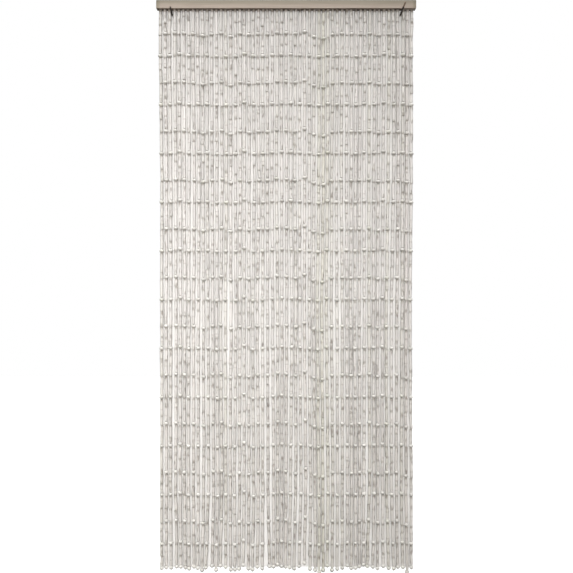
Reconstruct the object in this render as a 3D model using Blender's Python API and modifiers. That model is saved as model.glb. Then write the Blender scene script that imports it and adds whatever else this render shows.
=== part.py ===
"""Bamboo door curtain on its wooden rail, carried by two wire hooks.

Fifty-five strings of slim bamboo tubes, with a round wooden bead at even steps and one at each
foot, hang side by side from a lath that is let into the underside of a wooden rail. Strings of
two patterns alternate, so that the beads of neighbours lie at different heights.

Units are metres and +Z is up. The origin is the centre of the rail's back face, which lies
against the wall. The front faces -Y, and X runs along the rail.
"""

import math

import bmesh
import bpy
import numpy as np

# Gap between pieces that touch
GAP = 0.0003

# Rail
RAIL_LENGTH = 0.904
RAIL_DEPTH = 0.026
RAIL_HEIGHT = 0.030
RAIL_ROUNDING = 0.0025
RAIL_BOTTOM = -RAIL_HEIGHT / 2
RAIL_MIDDLE = -RAIL_DEPTH / 2

# Lath that the strings are fixed to. It lies in a groove under the rail, in two lengths.
LATH_DEPTH = 0.014
LATH_HEIGHT = 0.006
LATH_OVERHANG = 0.0065

# Strings, whose tubes and beads are three-sided here
STRING_COUNT = 55
LEFT_STRINGS = 28
ROOT_PITCH = 0.01625
TUBE_RADIUS = 0.0065
BEAD_RADIUS = 0.0090
BEAD_HEIGHT = 0.0135
FOOT_RADIUS = 0.0030
ROOT_IN_LATH = 0.003
ROOT_BELOW_RAIL = 0.002

# Depths below the rail. The strings at even places and those at odd places differ.
BEADS = 11
BEAD_STEP = 0.170
FIRST_BEAD = (0.161, 0.085)
HEM = 1.946

# How unevenly the strings hang, at heights given as shares of the hem's depth
LEVELS = (
    # share, pitch, sideways, front_back, least_distance
    (0.00, ROOT_PITCH, 0.0, 0.0, 0.0155),
    (0.08, 0.01625, 0.0012, 0.0010, 0.0138),
    (0.30, 0.01612, 0.0018, 0.0020, 0.0138),
    (0.55, 0.01608, 0.0022, 0.0025, 0.0138),
    (0.86, 0.01612, 0.0026, 0.0030, 0.0138),
    (1.00, 0.01614, 0.0034, 0.0040, 0.0140),
)
DROP_SPREAD = 0.0020
STEP_SPREAD = 0.0003
HEM_SPREAD = 0.0030
SEED = 11

# Strings that hang clearly lower or higher than the rest, counted from the left
NOTABLE = (
    # string, lower_by, longer_by
    (4, -0.006, 0.002),
    (15, 0.009, 0.000),
    (18, -0.007, 0.002),
    (31, -0.008, 0.000),
    (33, 0.010, 0.002),
    (34, 0.004, 0.009),
    (35, 0.016, -0.004),
    (37, 0.002, 0.011),
    (40, -0.001, -0.005),
    (44, -0.003, -0.010),
)

# The strings part at the hem after this one, and crowd their neighbours
PARTED_AFTER = 22
PARTED_BY = 0.0075
PARTED_REACH = 3.0

# The hooks press the string before and the string after them apart, near the rail
BEFORE_HOOK = (2, 51)
HOOK_ROOM = 0.0184
HOOK_ROOM_SHARE = 0.1

# Wire hooks
WIRE_RADIUS = 0.0026
SHANK_LENGTH = 0.0045
BEND_RADIUS = 0.0035
CROOK_BOTTOM = RAIL_BOTTOM - 0.0190
ARM_ANGLE = math.radians(60)
HOOK_AT = 24.5 * ROOT_PITCH
HOOKS = (
    # name, side, tip_height, lean_degrees
    ("hook_left", -1, -0.0095, 10.0),
    ("hook_right", 1, 0.0030, 21.0),
)


def clear_scene():
    for obj in list(bpy.data.objects):
        bpy.data.objects.remove(obj)


def make_collection(name):
    collection = bpy.data.collections.new(name)
    bpy.context.scene.collection.children.link(collection)
    return collection


def make_material(name, colour, roughness, metallic=0.0):
    material = bpy.data.materials.new(name)
    material.use_nodes = True
    shader = material.node_tree.nodes["Principled BSDF"]
    shader.inputs["Base Color"].default_value = (*colour, 1.0)
    shader.inputs["Roughness"].default_value = roughness
    shader.inputs["Metallic"].default_value = metallic
    material.diffuse_color = (*colour, 1.0)
    return material


def make_box(name, low, high, collection):
    """A box between two corners, placed by its location, with its size in its mesh."""
    low = np.array(low)
    high = np.array(high)
    bpy.ops.mesh.primitive_cube_add(size=1.0, location=(low + high) / 2)
    obj = bpy.context.object
    obj.name = name
    obj.scale = high - low
    bpy.ops.object.transform_apply(location=False, rotation=False, scale=True)
    for other in list(obj.users_collection):
        other.objects.unlink(obj)
    collection.objects.link(obj)
    return obj


def set_helper(obj):
    obj.hide_render = True
    obj.display_type = "WIRE"


def add_boolean(obj, operation, other):
    modifier = obj.modifiers.new(operation.title(), "BOOLEAN")
    modifier.operation = operation
    modifier.solver = "EXACT"
    modifier.object = other


def make_curve(name, lines, collection):
    """A curve object with one POLY spline for each line of (point, radius) pairs."""
    curve = bpy.data.curves.new(name, "CURVE")
    curve.dimensions = "3D"
    curve.use_fill_caps = True
    for line in lines:
        spline = curve.splines.new("POLY")
        spline.points.add(len(line) - 1)
        for point, (place, radius) in zip(spline.points, line):
            point.co = (*place, 1.0)
            point.radius = radius
    obj = bpy.data.objects.new(name, curve)
    collection.objects.link(obj)
    return obj


def mesh_of_curve(curve_object, name, collection):
    """Makes the curve a mesh object, with its loose caps welded on."""
    bpy.context.view_layer.update()
    graph = bpy.context.evaluated_depsgraph_get()
    mesh = bpy.data.meshes.new_from_object(curve_object.evaluated_get(graph))
    welded = bmesh.new()
    welded.from_mesh(mesh)
    bmesh.ops.remove_doubles(welded, verts=welded.verts, dist=1e-5)
    bmesh.ops.recalc_face_normals(welded, faces=welded.faces)
    welded.to_mesh(mesh)
    welded.free()
    obj = bpy.data.objects.new(name, mesh)
    obj.matrix_world = curve_object.matrix_world
    collection.objects.link(obj)
    bpy.data.objects.remove(curve_object)
    return obj


def push_apart(places, least):
    """Moves neighbours that are closer than their least distance away from each other."""
    for _ in range(200):
        lack = np.clip(least - np.diff(places), 0.0, None) / 2
        places[:-1] -= lack
        places[1:] += lack
    return places


def hanging():
    """Depths of the levels, and the X and Y of each string at each level."""
    rng = np.random.RandomState(SEED)
    number = np.arange(STRING_COUNT)
    from_middle = number - (STRING_COUNT - 1) / 2
    from_parting = number - (PARTED_AFTER + 0.5)
    parting = np.sign(from_parting) * np.exp(-np.abs(from_parting) / PARTED_REACH)
    in_front = np.where(number % 2 == 0, -1.0, 1.0)
    across = []
    front_back = []
    for share, pitch, sideways, depthways, least in LEVELS:
        drawn = rng.normal(size=STRING_COUNT + 2)
        wander = 0.4 * drawn[:-2] + 0.8 * drawn[1:-1] + 0.4 * drawn[2:]
        x = from_middle * pitch + sideways * wander
        if share == 1.0:
            x = x + PARTED_BY * parting
        room = np.full(STRING_COUNT - 1, least)
        if share < HOOK_ROOM_SHARE:
            room[list(BEFORE_HOOK)] = HOOK_ROOM
        across.append(push_apart(x, room))
        front_back.append(RAIL_MIDDLE + depthways * in_front)
    depths = HEM * np.array([row[0] for row in LEVELS])
    return depths, np.array(across), np.array(front_back)


def bead_depths():
    """Depth below the rail of each string's beads, the foot bead last."""
    rng = np.random.RandomState(SEED + 1)
    number = np.arange(STRING_COUNT)
    lower = DROP_SPREAD * rng.normal(size=STRING_COUNT)
    step = BEAD_STEP + STEP_SPREAD * rng.normal(size=STRING_COUNT)
    longer = HEM_SPREAD * rng.uniform(-1.0, 1.0, size=STRING_COUNT)
    for string, lower_by, longer_by in NOTABLE:
        lower[string] = lower_by
        longer[string] = longer_by
    first = np.array(FIRST_BEAD)[number % 2] + lower
    steps = first[:, None] + step[:, None] * np.arange(BEADS)
    foot = HEM + lower + longer + (step - BEAD_STEP) * BEADS
    return np.column_stack([steps, foot])


def string_line(depths, across, front_back, beads):
    """(point, radius) pairs down one string: its root, then three for each bead."""

    def place(depth):
        x = np.interp(depth, depths, across)
        y = np.interp(depth, depths, front_back)
        return (x, y, RAIL_BOTTOM - depth)

    root = (across[0], front_back[0])
    line = [
        ((*root, RAIL_BOTTOM + ROOT_IN_LATH), TUBE_RADIUS),
        ((*root, RAIL_BOTTOM - ROOT_BELOW_RAIL), TUBE_RADIUS),
    ]
    for depth in beads:
        below = FOOT_RADIUS if depth == beads[-1] else TUBE_RADIUS
        line.append((place(depth - BEAD_HEIGHT / 2), TUBE_RADIUS))
        line.append((place(depth), BEAD_RADIUS))
        line.append((place(depth + BEAD_HEIGHT / 2), below))
    return line


def make_section(collection):
    """A triangle of radius 1 with a flat side to the front, which a point's radius scales."""
    curve = bpy.data.curves.new("string_section", "CURVE")
    curve.dimensions = "2D"
    spline = curve.splines.new("POLY")
    spline.points.add(2)
    for number, point in enumerate(spline.points):
        angle = math.radians(90 + 120 * number)
        point.co = (math.cos(angle), math.sin(angle), 0.0, 1.0)
    spline.use_cyclic_u = True
    obj = bpy.data.objects.new("string_section", curve)
    collection.objects.link(obj)
    set_helper(obj)
    return obj


def make_strings(name, first, last, material, parts, helpers, section):
    """The strings first to last, fused at their roots into their length of the lath."""
    depths, across, front_back = hanging()
    beads = bead_depths()
    lines = []
    for string in range(first, last + 1):
        line = string_line(depths, across[:, string], front_back[:, string], beads[string])
        lines.append(line)
    curve = make_curve(name + "_lines", lines, helpers)
    curve.data.bevel_mode = "OBJECT"
    curve.data.bevel_object = section
    strings = mesh_of_curve(curve, name + "_lines", helpers)
    set_helper(strings)

    middle = (STRING_COUNT - 1) / 2
    joint = (LEFT_STRINGS - 0.5 - middle) * ROOT_PITCH
    end = middle * ROOT_PITCH + LATH_OVERHANG
    low_x = -end if first == 0 else joint + GAP / 2
    high_x = joint - GAP / 2 if first == 0 else end
    lath = make_box(
        name,
        (low_x, RAIL_MIDDLE - LATH_DEPTH / 2, RAIL_BOTTOM),
        (high_x, RAIL_MIDDLE + LATH_DEPTH / 2, RAIL_BOTTOM + LATH_HEIGHT),
        parts,
    )
    lath.data.materials.append(material)
    add_boolean(lath, "UNION", strings)
    return lath


def make_rail(material, parts, helpers):
    """The rail, with rounded edges and the groove that holds the lath."""
    rail = make_box(
        "rail",
        (-RAIL_LENGTH / 2, -RAIL_DEPTH, RAIL_BOTTOM),
        (RAIL_LENGTH / 2, 0.0, -RAIL_BOTTOM),
        parts,
    )
    rail.data.materials.append(material)
    bevel = rail.modifiers.new("Rounded edges", "BEVEL")
    bevel.width = RAIL_ROUNDING
    bevel.segments = 2
    half = (STRING_COUNT - 1) / 2 * ROOT_PITCH + LATH_OVERHANG + GAP
    groove = make_box(
        "groove_cutter",
        (-half, RAIL_MIDDLE - LATH_DEPTH / 2 - GAP, RAIL_BOTTOM - RAIL_HEIGHT),
        (half, RAIL_MIDDLE + LATH_DEPTH / 2 + GAP, RAIL_BOTTOM + LATH_HEIGHT + GAP),
        helpers,
    )
    set_helper(groove)
    add_boolean(rail, "DIFFERENCE", groove)
    return rail


def arc(centre, radius, start, end, steps):
    """Points (forward, height) on an arc, its angles in radians from straight forward."""
    angles = np.linspace(start, end, steps + 1)
    return [
        (centre[0] + radius * math.cos(a), centre[1] + radius * math.sin(a)) for a in angles
    ]


def hook_profile(tip_height):
    """The wire's middle line seen from the side, as (forward from the wall, height).

    The shank comes out of the wall just under the rail. The wire bends down, sweeps round a
    bowl and rises in a slanted arm that the rail's lower front edge rests on.
    """
    shank_height = RAIL_BOTTOM - GAP - WIRE_RADIUS
    clear = RAIL_ROUNDING + GAP + WIRE_RADIUS
    across = (math.sin(ARM_ANGLE), -math.cos(ARM_ANGLE))
    rest = (
        RAIL_DEPTH - RAIL_ROUNDING + clear * across[0],
        RAIL_BOTTOM + RAIL_ROUNDING + clear * across[1],
    )
    back = SHANK_LENGTH + BEND_RADIUS
    offset = across[0] * (rest[0] - back) + across[1] * (rest[1] - CROOK_BOTTOM)
    radius = offset / (1 + across[0] + across[1])
    centre = (back + radius, CROOK_BOTTOM + radius)
    rise = (tip_height - rest[1]) / math.sin(ARM_ANGLE)
    tip = (rest[0] + rise * math.cos(ARM_ANGLE), tip_height)
    bend_centre = (SHANK_LENGTH, shank_height - BEND_RADIUS)
    points = [(GAP, shank_height)]
    points += arc(bend_centre, BEND_RADIUS, math.pi / 2, 0.0, 4)
    points += arc(centre, radius, -math.pi, ARM_ANGLE - math.pi / 2, 8)
    points.append(tip)
    return points


def make_hook(name, side, tip_height, lean_degrees, material, parts):
    """One hook. Its bowl passes between two strings, and its arm leans outwards."""
    lean = math.tan(math.radians(lean_degrees))
    line = []
    for forward, height in hook_profile(tip_height):
        x = side * (HOOK_AT + (height - CROOK_BOTTOM) * lean)
        line.append(((x, -forward, height), 1.0))
    hook = make_curve(name, [line], parts)
    hook.data.bevel_depth = WIRE_RADIUS
    hook.data.bevel_resolution = 2
    hook.data.materials.append(material)
    return hook


def main():
    clear_scene()
    parts = make_collection("bamboo_door_curtain")
    helpers = make_collection("helpers")
    wood = make_material("greige_wood", (0.42, 0.37, 0.31), 0.55)
    bamboo = make_material("whitewashed_bamboo", (0.62, 0.59, 0.54), 0.6)
    wire = make_material("dark_wire", (0.035, 0.028, 0.024), 0.4, 0.8)
    make_rail(wood, parts, helpers)
    section = make_section(helpers)
    last = STRING_COUNT - 1
    make_strings("strings_left", 0, LEFT_STRINGS - 1, bamboo, parts, helpers, section)
    make_strings("strings_right", LEFT_STRINGS, last, bamboo, parts, helpers, section)
    for name, side, tip_height, lean_degrees in HOOKS:
        make_hook(name, side, tip_height, lean_degrees, wire, parts)


main()
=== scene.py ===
"""Looks of a bamboo door curtain: its tubes, beads, cords, lath, rail and wire hooks.

Metres, +Z up. The rail's back lies in the plane Y = 0, the front faces -Y, and depths are
measured down from the rail's underside. The sizes at the top are the part's own, and the strings
hang by the same formulas as its solids.
"""

import math
from functools import partial

import bmesh
import bpy
import numpy as np
from bpy.props import FloatProperty, FloatVectorProperty, PointerProperty
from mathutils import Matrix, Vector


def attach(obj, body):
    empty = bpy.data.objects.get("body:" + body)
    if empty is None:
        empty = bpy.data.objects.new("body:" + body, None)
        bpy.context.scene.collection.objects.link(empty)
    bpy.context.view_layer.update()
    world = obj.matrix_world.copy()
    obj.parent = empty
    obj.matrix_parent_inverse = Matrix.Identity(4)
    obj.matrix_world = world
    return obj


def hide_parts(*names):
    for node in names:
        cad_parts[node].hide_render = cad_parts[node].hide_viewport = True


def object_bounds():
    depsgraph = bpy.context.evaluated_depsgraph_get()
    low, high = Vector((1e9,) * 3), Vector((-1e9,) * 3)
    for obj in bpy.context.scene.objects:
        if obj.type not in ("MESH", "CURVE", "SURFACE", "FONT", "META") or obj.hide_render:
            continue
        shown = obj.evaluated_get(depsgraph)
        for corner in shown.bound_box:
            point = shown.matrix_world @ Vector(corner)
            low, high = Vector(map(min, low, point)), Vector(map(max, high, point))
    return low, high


bl_info = {
    "name": "Bamboo door curtain",
    "version": (1, 0, 0),
    "blender": (4, 5, 0),
    "location": "3D View > Sidebar > Curtain",
    "description": "Adds the pieces of a bamboo door curtain and a plain stage",
    "category": "Add Mesh",
}

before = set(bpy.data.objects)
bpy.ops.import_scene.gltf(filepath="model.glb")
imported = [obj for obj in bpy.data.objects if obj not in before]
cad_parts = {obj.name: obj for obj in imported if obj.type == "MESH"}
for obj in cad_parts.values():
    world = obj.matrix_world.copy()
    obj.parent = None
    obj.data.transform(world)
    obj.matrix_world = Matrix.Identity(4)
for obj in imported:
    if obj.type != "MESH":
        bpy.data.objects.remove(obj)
cad_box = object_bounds()

# Rail and the lath in its underside, as in the part
GAP = 0.0003
RAIL_LENGTH = 0.904
RAIL_DEPTH = 0.026
RAIL_HEIGHT = 0.030
RAIL_ROUNDING = 0.0025
RAIL_BOTTOM = -RAIL_HEIGHT / 2
RAIL_MIDDLE = -RAIL_DEPTH / 2
LATH_DEPTH = 0.014
LATH_HEIGHT = 0.006
LATH_OVERHANG = 0.0065
LATH_ROUNDING = 0.0006
CORNER_STEPS = 6

# Strings, as in the part
STRING_COUNT = 55
LEFT_STRINGS = 28
ROOT_PITCH = 0.01625
LATH_END = (STRING_COUNT - 1) / 2 * ROOT_PITCH + LATH_OVERHANG
BEADS = 11
BEAD_STEP = 0.170
FIRST_BEAD = (0.161, 0.085)
HEM = 1.946
LEVELS = (
    # share, pitch, sideways, front_back, least_distance
    (0.00, ROOT_PITCH, 0.0, 0.0, 0.0155),
    (0.08, 0.01625, 0.0012, 0.0010, 0.0138),
    (0.30, 0.01612, 0.0018, 0.0020, 0.0138),
    (0.55, 0.01608, 0.0022, 0.0025, 0.0138),
    (0.86, 0.01612, 0.0026, 0.0030, 0.0138),
    (1.00, 0.01614, 0.0034, 0.0040, 0.0140),
)
DROP_SPREAD = 0.0020
STEP_SPREAD = 0.0003
HEM_SPREAD = 0.0030
SEED = 11

# A string goes aside with the draws before, at and after it, and is then pushed off its
# neighbours this many times
WANDER = (0.4, 0.8, 0.4)
PUSHES = 200

# Strings that plainly hang higher or lower, the parting near the hem and the room for the hooks
NOTABLE = (
    # string, lower_by, longer_by
    (4, -0.006, 0.002),
    (15, 0.009, 0.000),
    (18, -0.007, 0.002),
    (31, -0.008, 0.000),
    (33, 0.010, 0.002),
    (34, 0.004, 0.009),
    (35, 0.016, -0.004),
    (37, 0.002, 0.011),
    (40, -0.001, -0.005),
    (44, -0.003, -0.010),
)
PARTED_AFTER = 22
PARTED_BY = 0.0075
PARTED_REACH = 3.0
BEFORE_HOOK = (2, 51)
HOOK_ROOM = 0.0184
HOOK_ROOM_SHARE = 0.1

# Wire hooks, as in the part
WIRE_RADIUS = 0.0026
SHANK_LENGTH = 0.0045
BEND_RADIUS = 0.0035
CROOK_BOTTOM = RAIL_BOTTOM - 0.0190
ARM_ANGLE = math.radians(60)
HOOK_AT = 24.5 * ROOT_PITCH
WIRE_SIDES = 16
BEND_STEPS = 10
BOWL_STEPS = 20
TIP_RINGS = 5
TIP_CUT = math.radians(85)
HOOKS = (
    # name, side, tip_height, lean_degrees
    ("hook_left", -1, -0.0095, 10.0),
    ("hook_right", 1, 0.0030, 21.0),
)

# Tubes: a stretch between two beads has a joint about level with the lower ends of its
# neighbours' beads, and the two parts are cut into a few tubes of uneven length
TUBE_SIDES = 10
MOST_TUBES = 2
TUBE_LENGTH = 0.055
TUBE_COUNT_SPREAD = 0.8
JOINT_SPREAD = 0.0010
LEAST_PART = 0.02
TUBE_SHARE = (0.55, 1.45)
SHOULDER = 0.0008
RIM_SHARE = 0.86
NODE_SHARE = 0.45
NODE_HALF = 0.0028
NODE_ROOM = 0.3
NODE_SWELL = (0.03, 0.09)
NODE_PLACE = (0.25, 0.75)
RADIUS_SPREAD = 0.035
TAPER_SPREAD = 0.02
ASKEW = 0.0008
MOST_SPREADS = 1.6  # draws are cut off at this many spreads
END_STAIN = (0.6, 1.5)
BEAD_ROOM = 0.0003
LAST_OF_PART = 0.999  # a tube that ends past this share of its part is the part's last

# Distance where a dark mark of the tubes is off, and how much slower the distance grows under the
# rail, so that the painted shadow at the tubes' tops reaches further down there
FAR_AWAY = 0.05
RAIL_SHADOW = 0.45

# Beads and knots
BEAD_SIDES = 12
BEAD_ROWS = 7
BEAD_CUT = math.radians(70)
BEAD_SIZE_SPREAD = 0.03
BEAD_SIZE_LIMITS = (-1.5, 1.0)
CORD_SIDES = 6
CORD_END = 0.01
KNOT_RADIUS = 0.0026
KNOT_HEIGHT = 0.0040
KNOT_ROWS = 5
KNOT_CUT = math.radians(75)

# Meshes: an edge sharper than this stays sharp, and points closer than this are merged
SHARP_OVER = math.radians(40)
MERGE_WITHIN = 1e-6

# How much the brightness and the tint of strings, tubes and beads vary, and the strings whose
# tint is set: olive above 0, rose below
STRING_SHADE = 0.02
TUBE_SHADE = 0.05
BEAD_SHADE = 0.04
TONE_SPREAD = 0.08
TINTED_STRINGS = (
    # string, tone
    (34, 0.32),
    (35, 0.40),
    (36, 0.28),
    (45, 0.20),
    (49, 0.20),
    (52, 0.16),
    (53, -0.22),
)

# The pieces that the strings are split into
GROUPS = (
    # name, first, last, solid
    ("far_left", 0, 13, "strings_left"),
    ("left", 14, 27, "strings_left"),
    ("right", 28, 41, "strings_right"),
    ("far_right", 42, 54, "strings_right"),
)

# Grain and scars: how dense they are along X, Y and Z, and how fine or wide they are
BAMBOO_GRAIN = {"Per metre": (330.0, 330.0, 26.0), "Fine": 3.5}
BAMBOO_SCARS = {"Per metre": (100.0, 100.0, 38.0), "Reach": 0.38}
BEAD_GRAIN = {"Per metre": (260.0, 260.0, 90.0), "Fine": 4.0}
RAIL_GRAIN = {"Per metre": (3.0, 160.0, 160.0), "Fine": 3.2}
CORD_TWIST = {"Scale": 180.0, "Distortion": 1.5, "Detail": 1.0}
WIRE_MOTTLE = (500.0, 3.0)
NOISE_MEAN = 0.5

# Masks and roughness: while a value goes from the first number to the second, they go from the
# third to the fourth, or from 0 to 1 where only two are given
SCAR_SPOT = (-0.20, 0.07, 1.0, 0.0)
SCAR_STRENGTH = (0.12, 0.90, 0.0, 0.8)
# Wear of the whitewash, dark nodes and dark ends; the last mask is painted shadow on the top of
# each tube that hangs under a bead or under the rail
BAMBOO_WEAR_AND_SHADE = {
    "Coarse": (0.50, 0.72, 0.0, 0.36),
    "Streaks": (0.52, 0.75, 0.0, 0.30),
    "from_node": (0.0005, 0.0035, 0.45, 0.0),
    "from_end": (0.0, 0.0072, 0.72, 0.0),
    "from_above": (0.0015, 0.0080, 0.78, 0.0),
}
BAMBOO_ROUGHNESS = (0.0, 0.6, 0.48, 0.72)
# Wear of the whitewash and round the mouths; the last mask is painted shade on the lower part of
# each bead
BEAD_WEAR_AND_SHADE = {
    "Coarse": (0.52, 0.75, 0.0, 0.30),
    "Streaks": (0.55, 0.78, 0.0, 0.22),
    "from_end": (0.0, 0.0022, 0.20, 0.0),
    "from_foot": (0.0030, 0.0085, 0.70, 0.0),
}
BEAD_ROUGHNESS = (0.0, 0.5, 0.54, 0.70)
RAIL_UPPER = (-0.010, 0.010)
RAIL_ON_TOP = (-RAIL_BOTTOM - 0.004, -RAIL_BOTTOM - 0.001)
RAIL_ROUGHNESS = (0.3, 0.7, 0.42, 0.60)
# Painted light: the wire turns lighter brown above the rail's underside
WIRE_PAINTED_LIGHT = (RAIL_BOTTOM + 0.001, RAIL_BOTTOM + 0.006, 0.0, 0.75)
WIRE_ROUGHNESS = (0.3, 0.7, 0.34, 0.5)

# Tints: a mask as above, and the colour that the finish is multiplied by where it is whole
# Painted shadow of the rail on the strings' tops
PAINTED_RAIL_SHADOW = ((RAIL_BOTTOM - 0.0130, RAIL_BOTTOM - 0.0065), (0.60, 0.56, 0.52))
# Painted shade: the strings darken towards the bottom, where less light falls
LOW_DOWN_PAINTED_SHADE = ((RAIL_BOTTOM - 1.70, RAIL_BOTTOM - 0.90, 1.0, 0.0), (0.90, 0.895, 0.88))
RAIL_STREAKS = ((0.42, 0.70, 0.0, 0.55), (0.72, 0.70, 0.68))
RAIL_ENDS = ((RAIL_LENGTH / 2 - 0.016, RAIL_LENGTH / 2 - 0.006), (0.74, 0.76, 0.70))
# Painted shade on the underside of the rail and the lath
RAIL_UNDERSIDE_PAINTED_SHADE = ((RAIL_BOTTOM + 0.0003, RAIL_BOTTOM + 0.0012, 1.0, 0.0), (0.42, 0.38, 0.34))
# Painted shade that darkens the rail's top face
RAIL_TOP_PAINTED_SHADE = (0.52, 0.52, 0.48)

# Other numbers of the finishes, and their bumps as a height and a strength
RAIL_DRIFT = 0.012
RAIL_TOP_ROUGHNESS = 0.85
CORD_DARK = 0.45
CORD_ROUGHNESS = 0.85
WIRE_LIGHTER = 1.9
WIRE_METALLIC = 0.6
BAMBOO_BUMP = (0.0003, 0.6)
BEAD_BUMP = (0.0002, 0.5)
RAIL_BUMP = (0.0003, 0.6)
CORD_BUMP = (0.0002, 1.0)
WIRE_BUMP = (0.0001, 1.0)

# Camera, from the photograph: its width, what one pixel is on the strings, and where the rail's
# underside and its middle lie in it
PHOTO_PIXELS = 573
PIXEL_SIZE = 0.00349
UNDERSIDE_ROW = 9.7
MIDDLE_COLUMN = 286.2
CAMERA_DISTANCE = 2.65
SENSOR = 36.0

# Stage
WHITE = (1.0, 1.0, 1.0, 1.0)
STAGE_ROUGHNESS = 0.9
SHEET_CELLS = 4
FLOOR_GAP = 0.03
FLOOR_HALF = 6.0
PANEL_HALF = 0.437
PANEL_BEHIND = 0.0005
PANEL_TOP = -0.012
PANEL_BOTTOM = -1.9645
LIGHTS = (
    # name, place, aim, size, spread_degrees
    ("key", (-0.25, -5.0, -0.3), (-0.8, 0.0, -1.2), (2.0, 1.4), 60.0),
    ("top", (-0.5, -1.6, 5.2), (0.0, 0.0, -0.9), (5.0, 5.0), 180.0),
    ("back", (2.5, 3.8, 0.6), (0.0, 0.0, -0.9), (3.0, 3.0), 180.0),
)

ColourProperty = partial(FloatVectorProperty, min=0.0, max=1.0, subtype="COLOR")
LengthProperty = partial(FloatProperty, precision=4, unit="LENGTH")


class CurtainSizes(bpy.types.PropertyGroup):
    """Sizes that give the curtain its look without moving its strings."""

    tube_radius: LengthProperty(
        name="Tube radius",
        description="Outer radius of a bamboo tube",
        default=0.0053,
        min=0.002,
        max=0.007,
    )
    tube_gap: LengthProperty(
        name="Tube gap",
        description="Room between two tubes, where the cord shows",
        default=0.0009,
        min=0.0,
        max=0.005,
    )
    bead_radius: LengthProperty(
        name="Bead radius",
        description="Radius of a bead seen from above",
        default=0.0079,
        min=0.003,
        max=0.0085,
    )
    bead_height: LengthProperty(
        name="Bead height",
        description="Height of a bead along its cord",
        default=0.0135,
        min=0.004,
        max=0.02,
    )
    cord_radius: LengthProperty(
        name="Cord radius",
        description="Radius of the cord that the tubes and beads are threaded on",
        default=0.0012,
        min=0.0003,
        max=0.003,
    )


class CurtainColours(bpy.types.PropertyGroup):
    """Colours of the curtain's finishes."""

    wash: ColourProperty(
        name="Whitewash",
        description="Colour of the tubes where their whitewash is whole",
        default=(0.645, 0.617, 0.588),
    )
    # Also the colour of the painted shadow on the tubes and of the painted shade on the beads
    wear_and_shade: ColourProperty(
        name="Worn bamboo",
        description="Colour of the tubes where the bamboo shows through",
        default=(0.34, 0.31, 0.27),
    )
    scar: ColourProperty(
        name="Scar",
        description="Colour of the dark scars in the bamboo",
        default=(0.25, 0.22, 0.19),
    )
    olive: ColourProperty(
        name="Olive tone",
        description="What a string of green bamboo is tinted with",
        default=(0.92, 0.94, 0.80),
    )
    rose: ColourProperty(
        name="Rose tone",
        description="What a string of ripe bamboo is tinted with",
        default=(1.0, 0.95, 0.92),
    )
    bead: ColourProperty(
        name="Bead",
        description="Colour of the whitewashed beads",
        default=(0.63, 0.612, 0.577),
    )
    cord: ColourProperty(
        name="Cord",
        description="Colour of the cord between the tubes",
        default=(0.20, 0.17, 0.13),
    )
    rail_upper: ColourProperty(
        name="Rail, upper band",
        description="Colour of the rail's wood towards its top",
        default=(0.255, 0.220, 0.166),
    )
    rail_lower: ColourProperty(
        name="Rail, lower band",
        description="Colour of the rail's wood towards its lower edge",
        default=(0.385, 0.313, 0.253),
    )
    wire: ColourProperty(
        name="Wire",
        description="Colour of the hooks' dark wire",
        default=(0.035, 0.028, 0.024),
    )
    # Colour of the painted light on the wire in front of the rail
    painted_light: ColourProperty(
        name="Rubbed wire",
        description="Colour of the hooks' wire where its coat has worn off",
        default=(0.24, 0.17, 0.12),
    )


class CurtainStage(bpy.types.PropertyGroup):
    """Light and backdrop."""

    key_power: FloatProperty(
        name="Key light",
        description="Power of the wide soft light at the front",
        default=31.8,
        min=0.0,
        unit="POWER",
    )
    top_power: FloatProperty(
        name="Top light",
        description="Power of the large soft light high above the front left",
        default=500.0,
        min=0.0,
        unit="POWER",
    )
    back_power: FloatProperty(
        name="Back light",
        description="Power of the soft light behind the curtain on the right",
        default=170.0,
        min=0.0,
        unit="POWER",
    )
    floor: ColourProperty(
        name="Floor",
        description="Colour of the plain floor",
        default=(0.40, 0.40, 0.40),
    )
    floor_glow: FloatProperty(
        name="Floor glow",
        description="How much brighter than it is lit the camera sees the floor",
        default=1.0,
        min=0.0,
    )
    panel: ColourProperty(
        name="Panel",
        description="Colour of the plain panel behind the strings",
        default=(0.83, 0.81, 0.785),
    )
    ambient: FloatProperty(
        name="Ambient light",
        description="How much light comes from all around",
        default=0.12,
        min=0.0,
    )
    surround: FloatProperty(
        name="Surround",
        description="How bright the camera sees what is past the floor",
        default=1.0,
        min=0.0,
    )


def push_apart(places, least):
    """Moves neighbours that are closer than their least distance away from each other."""
    for _ in range(PUSHES):
        lack = np.clip(least - np.diff(places), 0.0, None) / 2
        places[:-1] -= lack
        places[1:] += lack
    return places


def hanging():
    """Depths of the levels, and the X and Y of each string at each level, as in the part."""
    rng = np.random.RandomState(SEED)
    number = np.arange(STRING_COUNT)
    from_middle = number - (STRING_COUNT - 1) / 2
    from_parting = number - (PARTED_AFTER + 0.5)
    parting = np.sign(from_parting) * np.exp(-np.abs(from_parting) / PARTED_REACH)
    in_front = np.where(number % 2 == 0, -1.0, 1.0)
    previous, own, following = WANDER
    across = []
    front_back = []
    for share, pitch, sideways, depthways, least in LEVELS:
        drawn = rng.normal(size=STRING_COUNT + 2)
        wander = previous * drawn[:-2] + own * drawn[1:-1] + following * drawn[2:]
        x = from_middle * pitch + sideways * wander
        if share == 1.0:
            x = x + PARTED_BY * parting
        room = np.full(STRING_COUNT - 1, least)
        if share < HOOK_ROOM_SHARE:
            room[list(BEFORE_HOOK)] = HOOK_ROOM
        across.append(push_apart(x, room))
        front_back.append(RAIL_MIDDLE + depthways * in_front)
    depths = HEM * np.array([row[0] for row in LEVELS])
    return depths, np.array(across), np.array(front_back)


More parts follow.
